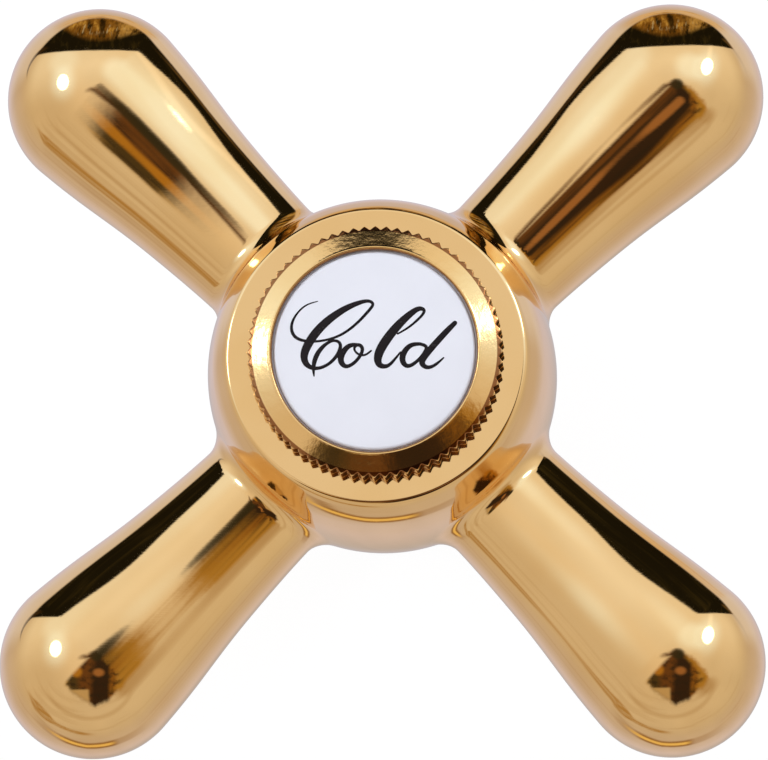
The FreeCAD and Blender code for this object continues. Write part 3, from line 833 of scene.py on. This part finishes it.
    def zip_rims(low_ids, low_angles, high_ids, high_angles):
        """Triangles between two closed rims, the low one under the high one, both in order of angle."""
        i = j = 0
        nl, nh = len(low_ids), len(high_ids)
        while i < nl or j < nh:
            la = low_angles[(i + 1) % nl] + 2 * math.pi * ((i + 1) // nl)
            ha = high_angles[(j + 1) % nh] + 2 * math.pi * ((j + 1) // nh)
            if j >= nh or (i < nl and la < ha):
                m.faces([[low_ids[i % nl], low_ids[(i + 1) % nl], high_ids[j % nh]]])
                i += 1
            else:
                m.faces([[low_ids[i % nl], high_ids[(j + 1) % nh], high_ids[j % nh]]])
                j += 1
    ang = lambda ids: [math.atan2(v[i][1], v[i][0]) % (2 * math.pi) for i in ids]
    ring_a = (2 * math.pi * np.arange(turns) / turns).tolist()
    zip_rims([base + i for i in rims[Z_TOP]], ang(rims[Z_TOP]),
             [s + c * rows for c in range(turns)], ring_a)
    zip_rims([s + c * rows + rows - 1 for c in range(turns)], ring_a,
             [base + i for i in rims[Z_LOW]], ang(rims[Z_LOW]))
    return m.build("handle", None, "handle", "gold_plate", ["handle_body"])


make_handle()


# -------------------------------------------------------------- index ring
TEETH = 72
TIP, ROOT_R = 10.08, 9.77
KNURL0, KNURL1 = 10.44, 12.00
LIP_R, LIP_Z = 8.32, 12.72


def make_ring():
    share = np.array([-0.035, 0.035, 0.15, 0.27, 0.37, 0.45, 0.55, 0.63, 0.73, 0.85])
    depth = np.array([1.0, 1.0, 0.74, 0.45, 0.20, 0.03, 0.03, 0.20, 0.45, 0.74])
    a = ((np.arange(TEETH)[:, None] + share[None, :]) * 2 * math.pi / TEETH).ravel()
    edge = np.tile(ROOT_R + (TIP - ROOT_R) * depth, TEETH)
    c, s = np.cos(a), np.sin(a)
    slope = (LIP_Z - KNURL1) / (TIP - LIP_R)
    cone = lambda r: KNURL1 + (TIP - r) * slope
    rows = []

    def row(r, z):
        r = np.broadcast_to(r, a.shape)
        z = np.broadcast_to(z, a.shape)
        rows.append(np.stack([r * c, r * s, z + ARM_Z], -1))
    # up the knurled wall and in over the cone
    row(9.30, KNURL0)
    row(edge - 0.10, KNURL0)
    row(edge - 0.03, KNURL0 + 0.03)
    row(edge, KNURL0 + 0.10)
    wall = cone(edge) - 0.10
    for f in (0.2, 0.4, 0.6, 0.8):
        row(edge, KNURL0 + 0.10 + (wall - KNURL0 - 0.10) * f)
    # rolled burr along the teeth's top edge
    row(edge, wall)
    row(edge - 0.008, cone(edge) - 0.050)
    row(edge - 0.030, cone(edge) - 0.014)
    row(edge - 0.065, cone(edge - 0.065) - 0.001)
    row(edge - 0.11, cone(edge - 0.11))
    low = (edge - 0.11) * 0.5 + 0.5 * 9.60
    row(low, cone(low))
    row(9.60, cone(9.60))
    for r in (9.50, 9.35, 9.15, 8.95, 8.75, 8.58, 8.45, 8.37):
        row(r, cone(r))
    # rolled lip and the seat under it
    rows_in = rounded([(8.37, float(cone(8.37))), (8.30, LIP_Z + 0.015, 0.06), (8.20, LIP_Z + 0.015, 0.08),
                       (8.08, LIP_Z - 0.13, 0.08), (8.08, 12.00, 0.03), (8.36, 12.00, 0.04),
                       (8.36, 9.26, 0.03), (8.68, 9.26, 0.03), (8.68, 8.60, 0.03), (8.36, 8.60, 0.03),
                       (8.36, 6.55, 0.03), (8.50, 6.40, 0.04), (9.20, 6.40, 0.04), (9.33, 6.52, 0.04),
                       (9.35, 6.95, 0.02)], 4)
    for r, z, nr, nz in rows_in[1:-1]:
        row(r, z)
    # seal groove, then the thread
    for r, z in ((9.35, 7.05), (8.75, 7.07), (8.73, 7.10), (8.73, 7.82), (8.75, 7.85), (9.35, 7.88)):
        row(r, z)
    zt = np.arange(7.95, 10.2, 0.05)
    for z in zt:
        ph = (z + a / (2 * math.pi)) % 1.0
        tooth = np.clip((0.5 - np.abs(ph - 0.5)) * 2.6 - 0.35, 0, 1)
        fade = min(1.0, (z - 7.95) / 0.4) * min(1.0, (10.2 - z) / 0.3)
        row(9.35 - 0.28 * tooth * fade, z)
    row(9.30, 10.25)
    v = np.stack(rows, 1)
    m = Mesh()
    m.grid(v, np.zeros_like(v), wrap_rows=True)
    return m.build("index_ring", None, "index_ring", "gold_turned", ["index_bezel"], own_normals=False)


make_ring()


# --------------------------------------------------------- porcelain index
FACE_R, FACE_Z, DOME = 7.95, 12.46, 0.16
sag_r = ((FACE_R - 0.3) ** 2 + DOME ** 2) / (2 * DOME)


def dome_z(x, y):
    return FACE_Z + DOME - sag_r + np.sqrt(sag_r ** 2 - x * x - y * y)


def make_index():
    r = np.linspace(FACE_R - 0.3, 0.0, 40)
    z = dome_z(r, 0)
    nr, nz = r / sag_r, np.sqrt(1 - (r / sag_r) ** 2)
    face = np.stack([r, z, nr, nz], -1)
    edge = []
    for k in range(9):
        t = math.radians(90 * k / 8)
        edge.append((FACE_R - 0.3 + 0.3 * math.cos(t), FACE_Z - 0.3 + 0.3 * math.sin(t), math.cos(t), math.sin(t)))
    low = rounded([(0.0, 9.98), (8.30, 9.98, 0.15), (8.30, 11.98, 0.10), (7.95, 11.98, 0.06), (7.95, 12.08)], 4)
    rows = np.concatenate([low[1:], np.array(edge[:-1]), face[:-1]])
    seg = 240
    v, n = turn(rows, seg, ARM_Z)
    m = Mesh()
    s = m.grid(v, n)
    k = len(rows)
    top = m.add([(0, 0, float(dome_z(0, 0)) + ARM_Z)], [(0, 0, 1)])
    bot = m.add([(0, 0, 9.98 + ARM_Z)], [(0, 0, -1)])
    m.faces([[s + i * k + k - 1, s + (i + 1) % seg * k + k - 1, top] for i in range(seg)])
    m.faces([[s + (i + 1) % seg * k, s + i * k, bot] for i in range(seg)])
    return m.build("porcelain_disc", None, "index", "porcelain", ["porcelain_index"])


make_index()

# lettering: a pen's path in tenths of the disc's plane, x right and y down from the
# disc's middle in units of 0.08 mm, with the pen's half width at each point
PEN = {
    "c": [(-57.5, -50.5, 0.5), (-69, -46.5, 0.8), (-79, -36.5, 1.1), (-83, -25, 1.5), (-79.5, -15.5, 1.6),
          (-68, -10.8, 1.4), (-52, -11.2, 1.2), (-35, -16.5, 1.3), (-18.5, -28.5, 1.4), (-6.5, -41.5, 1.5),
          (-3.2, -47.5, 1.5), (-6.5, -50.2, 1.6), (-14.5, -49.4, 2.1), (-28, -44, 3.0), (-43, -34.5, 3.8),
          (-56.5, -22, 4.3), (-66.5, -7.5, 4.3), (-70.3, 4, 3.7), (-68, 12, 2.8), (-61, 16.2, 2.0),
          (-51, 14.8, 1.6), (-41.5, 8, 1.7), (-35.5, -1.5, 1.8), (-35.5, -8.5, 1.6), (-41, -11.0, 1.4),
          (-49, -7.5, 1.7), (-56, 0, 2.3), (-60, 9, 2.3), (-61, 17, 1.6), (-60.5, 24.0, 0.7)],
    "o": [(-17.5, -6.6, 1.6), (-25.5, -5.8, 2.3), (-32.5, 1.5, 3.0), (-34, 9.5, 2.9), (-29.5, 14.6, 2.1),
          (-21.5, 11.5, 1.7), (-14.8, 3.4, 1.7), (-13.4, -3.6, 1.8), (-17.5, -6.6, 1.7), (-21.0, -3.0, 1.2),
          (-17.0, 2.6, 1.1), (-10.5, 3.4, 1.1), (-4.6, -0.6, 0.9)],
    "l": [(21.5, -17.5, 0.9), (31.5, -23.5, 1.1), (42.5, -33, 1.3), (47.2, -40.5, 1.6), (43.5, -42.6, 2.2),
          (34, -37.5, 3.2), (21, -25, 4.2), (9.5, -10, 4.6), (2.6, 4, 4.2), (3.6, 13, 3.0), (10.5, 14.8, 2.0),
          (17.5, 9.4, 1.4), (24.2, 1.0, 0.9)],
    "d": [(43.5, -7.2, 1.7), (34.5, -5.8, 2.3), (27.6, 1.8, 2.9), (26.6, 9.8, 2.8), (31, 14.6, 2.1),
          (39, 11.2, 1.7), (46.4, 3.2, 1.6), (49.4, -4.2, 1.7), (43.5, -7.2, 1.7)],
    "stem": [(77.5, -28.2, 2.3), (69.5, -20.0, 2.9), (57.5, -6.6, 3.2), (48.5, 4.6, 3.2), (45.6, 12, 2.8),
             (50.4, 16.0, 2.0), (58.5, 13.4, 1.5), (66.5, 6.6, 0.8)],
}


def make_lettering():
    cell = 0.40
    x0, y0 = -90.0, -56.0
    nx, ny = int(175 / cell), int(86 / cell)
    gx, gy = x0 + cell * np.arange(nx), y0 + cell * np.arange(ny)
    dist = np.full((nx, ny), 9.0)
    for path in PEN.values():
        p = np.array(path)
        d = np.linalg.norm(np.diff(p[:, :2], axis=0), axis=1) ** 0.5
        t = np.concatenate([[0], np.cumsum(d)])
        cx, cy, cw = (spline(t, p[:, k]) for k in range(3))
        u = np.linspace(0, t[-1], int(np.linalg.norm(np.diff(p[:, :2], axis=0), axis=1).sum() / 0.35))
        for px, py, w in zip(cx(u)[0], cy(u)[0], np.maximum(cw(u)[0], 0.3)):
            i0, i1 = int((px - w - 2 - x0) / cell), int((px + w + 2 - x0) / cell) + 2
            j0, j1 = int((py - w - 2 - y0) / cell), int((py + w + 2 - y0) / cell) + 2
            sx, sy = gx[i0:i1][:, None], gy[j0:j1][None, :]
            block = dist[i0:i1, j0:j1]
            np.minimum(block, np.hypot(sx - px, sy - py) - w, out=block)
    # filled outline by cells, cut along the zero level
    inside = dist < 0
    ids, flat = {}, []

    def corner(i, j):
        key = (i, j)
        if key not in ids:
            ids[key] = len(flat)
            flat.append((gx[i], gy[j], dist[i, j]))
        return ids[key]

    def cross(i, j, k, l):
        key = (min((i, j), (k, l)), max((i, j), (k, l)))
        if key not in ids:
            a, b = dist[i, j], dist[k, l]
            f = min(0.92, max(0.08, a / (a - b)))
            ids[key] = len(flat)
            flat.append((gx[i] + (gx[k] - gx[i]) * f, gy[j] + (gy[l] - gy[j]) * f, 0.0))
        return ids[key]
    any_in = inside[:-1, :-1] | inside[1:, :-1] | inside[1:, 1:] | inside[:-1, 1:]
    polys = []
    for i, j in np.argwhere(any_in):
        ring = ((i, j), (i, j + 1), (i + 1, j + 1), (i + 1, j))
        poly = []
        for k in range(4):
            a, b = ring[k], ring[(k + 1) % 4]
            if inside[a]:
                poly.append(corner(*a))
            if inside[a] != inside[b]:
                poly.append(cross(*a, *b))
        polys.append(poly)
    flat = np.array(flat)
    x, y = flat[:, 0] * 0.08 + 0.12, -flat[:, 1] * 0.08 - 0.10
    rise = 0.010 + 0.014 * np.clip(-flat[:, 2] / 1.2, 0, 1) ** 0.5
    base = dome_z(x, y) + ARM_Z
    m = Mesh()
    nrm = np.zeros((len(flat), 3))
    hi = m.add(np.stack([x, y, base + rise], -1), nrm)
    lo = m.add(np.stack([x, y, base - 0.012], -1), nrm)
    m.faces([[hi + k for k in p] for p in polys])
    m.faces([[lo + k for k in reversed(p)] for p in polys])
    used = {}
    for p in polys:
        for a, b in zip(p, p[1:] + p[:1]):
            if (b, a) in used:
                del used[(b, a)]
            else:
                used[(a, b)] = True
    m.faces([[hi + b, hi + a, lo + a, lo + b] for a, b in used])
    return m.build("lettering", None, "index", "enamel_black", [], own_normals=False)


make_lettering()


# ------------------------------------------------------------------ bonnet
def make_bonnet():
    af, seg = 17.0, 360
    a = 2 * math.pi * np.arange(seg) / seg
    c, s = np.cos(a), np.sin(a)
    fold = np.abs((a + math.pi / 6) % (math.pi / 3) - math.pi / 6)
    # hexagon's corners lie at 0, 60, ... degrees
    flat = (a % (math.pi / 3)) - math.pi / 6
    hexr = af / 2 / np.cos(flat)
    soft = 9.58
    hexr = np.minimum(hexr, soft + 0.15 * np.tanh((hexr - soft) / 0.15))
    rows = []

    def row(r, z):
        r = np.broadcast_to(r, a.shape)
        z = np.broadcast_to(z, a.shape)
        rows.append(np.stack([r * c, r * s, z], -1))

    def ring(points, steps=4):
        for r, z, _, _ in rounded(points, steps):
            row(r, z)
    # outside, from the foot up: plain neck, pipe thread, relief, flange, hexagon, top neck
    ring([(6.3, -13.0), (6.55, -13.0, 0.05), (7.0, -12.6, 0.08), (7.0, -8.85, 0.1), (7.30, -8.62, 0.05)])
    pitch, depth = 1.337, 0.80
    for z in np.arange(-8.55, 0.12, 0.07):
        ph = (z / pitch + a / (2 * math.pi)) % 1.0
        tooth = np.clip((0.5 - np.abs(ph - 0.5)) * 2.5 - 0.12, 0, 1)
        tooth = tooth * tooth * (3 - 2 * tooth)
        lead = min(1.0, max(0.0, (z + 8.55) / 0.75))
        end = min(1.0, max(0.0, (0.12 - z) / 0.5))
        crest = 7.60 + (8.33 - 7.60) * min(lead, end)
        row(np.maximum(7.52, crest - depth * (1 - tooth)), z)
    ring([(7.60, 0.30), (7.60, 1.20, 0.05), (9.75, 1.20, 0.04), (9.90, 1.35, 0.05), (9.90, 3.08, 0.05),
          (9.82, 3.20, 0.04), (9.79, 3.20)])
    row(hexr + 0.03, 3.20)
    row(hexr, 3.25)
    for z in np.concatenate([[4.5, 6.0, 7.5], np.arange(8.2, 8.96, 0.06)]):
        row(np.minimum(hexr, 9.90 - (z - 8.38) * 1.9), z)
    ring([(8.72, 9.0), (6.55, 9.0, 0.12), (6.40, 9.2, 0.1), (6.40, 10.7, 0.05), (6.1, 11.0, 0.05), (4.05, 11.0, 0.05),
          (3.96, 10.9, 0.03), (3.96, 3.20, 0.03), (5.05, 3.20, 0.03), (5.05, 0.92)])
    bore = np.minimum(5.62, 4.62 / np.maximum(np.abs(c), 1e-3))
    row(bore, 0.90)
    for z in (0.6, -3.0, -6.0, -9.0, -12.8):
        row(bore, z)
    row(bore + 0.15, -13.0)
    v = np.stack(rows, 1)
    m = Mesh()
    m.grid(v, np.zeros_like(v), wrap_rows=True)
    return m.build("headwork_bonnet", None, "headwork", "brass_raw", ["bonnet"], own_normals=False)


make_bonnet()


def turned_piece(name, node, body, slot, outline, seg=160, steps=4, radial=None):
    """A closed outline of (r, z, corner) turned into a ring."""
    rows = close_loop(outline, steps)
    v, n = turn(rows, seg)
    if radial is not None:
        a = 2 * math.pi * np.arange(seg) / seg
        cap = radial(a)[:, None]
        r = np.hypot(v[..., 0], v[..., 1])
        k = np.minimum(1.0, cap / np.maximum(r, 1e-9))
        v[..., 0] *= k
        v[..., 1] *= k
        n = n * 0.0
    m = Mesh()
    m.grid(v, n, wrap_rows=True)
    return m.build(name, None, body, slot, [node], own_normals=radial is None)


turned_piece("fibre_seal", "flange_seal", "headwork", "fibre_red",
             [(9.70, 0.0, 0.12), (9.70, 1.19, 0.12), (8.45, 1.19, 0.10), (8.45, 0.0, 0.10)])
turned_piece("valve_washer", "tap_washer", "valve", "rubber_black",
             [(5.60, -20.0, 0.25), (5.60, -18.22, 0.12), (1.27, -18.22, 0.05), (1.27, -20.48, 0.10),
              (5.10, -20.48, 0.25)])


# carried CAD pieces get their slot's material
slots = {p["node"]: p["material_slot"] for p in frame["record"]["subparts"]}
for name, o in frame["nodes"].items():
    o.data.materials.clear()
    o.data.materials.append(MAT[slots[name]])

# ------------------------------------------------------------------- floor
me = bpy.data.meshes.new("floor")
s = 3.0
me.from_pydata([(-s, -s, 0), (s, -s, 0), (s, s, 0), (-s, s, 0)], [], [(0, 1, 2, 3)])
floor = bpy.data.objects.new("floor", me)
floor.location = (0, 0, cad_box[0][2] - 0.0002)
scene.collection.objects.link(floor)
floor.visible_glossy = False
m = bpy.data.materials.new("floor")
m.use_nodes = True
m.node_tree.nodes.clear()
t = Tree(m.node_tree)
lit = t.node("ShaderNodeBsdfDiffuse")
lit.inputs["Color"].default_value = (0.9, 0.9, 0.9, 1)
own = t.node("ShaderNodeEmission")
own.inputs["Color"].default_value = (1, 1, 1, 1)
own.inputs["Strength"].default_value = 1.06
pick = t.node("ShaderNodeMixShader")
pick.inputs[0].default_value = 0.88
t.put(pick.inputs[1], lit.outputs[0])
t.put(pick.inputs[2], own.outputs[0])
out = t.node("ShaderNodeOutputMaterial")
t.put(out.inputs["Surface"], pick.outputs[0])
me.materials.append(m)
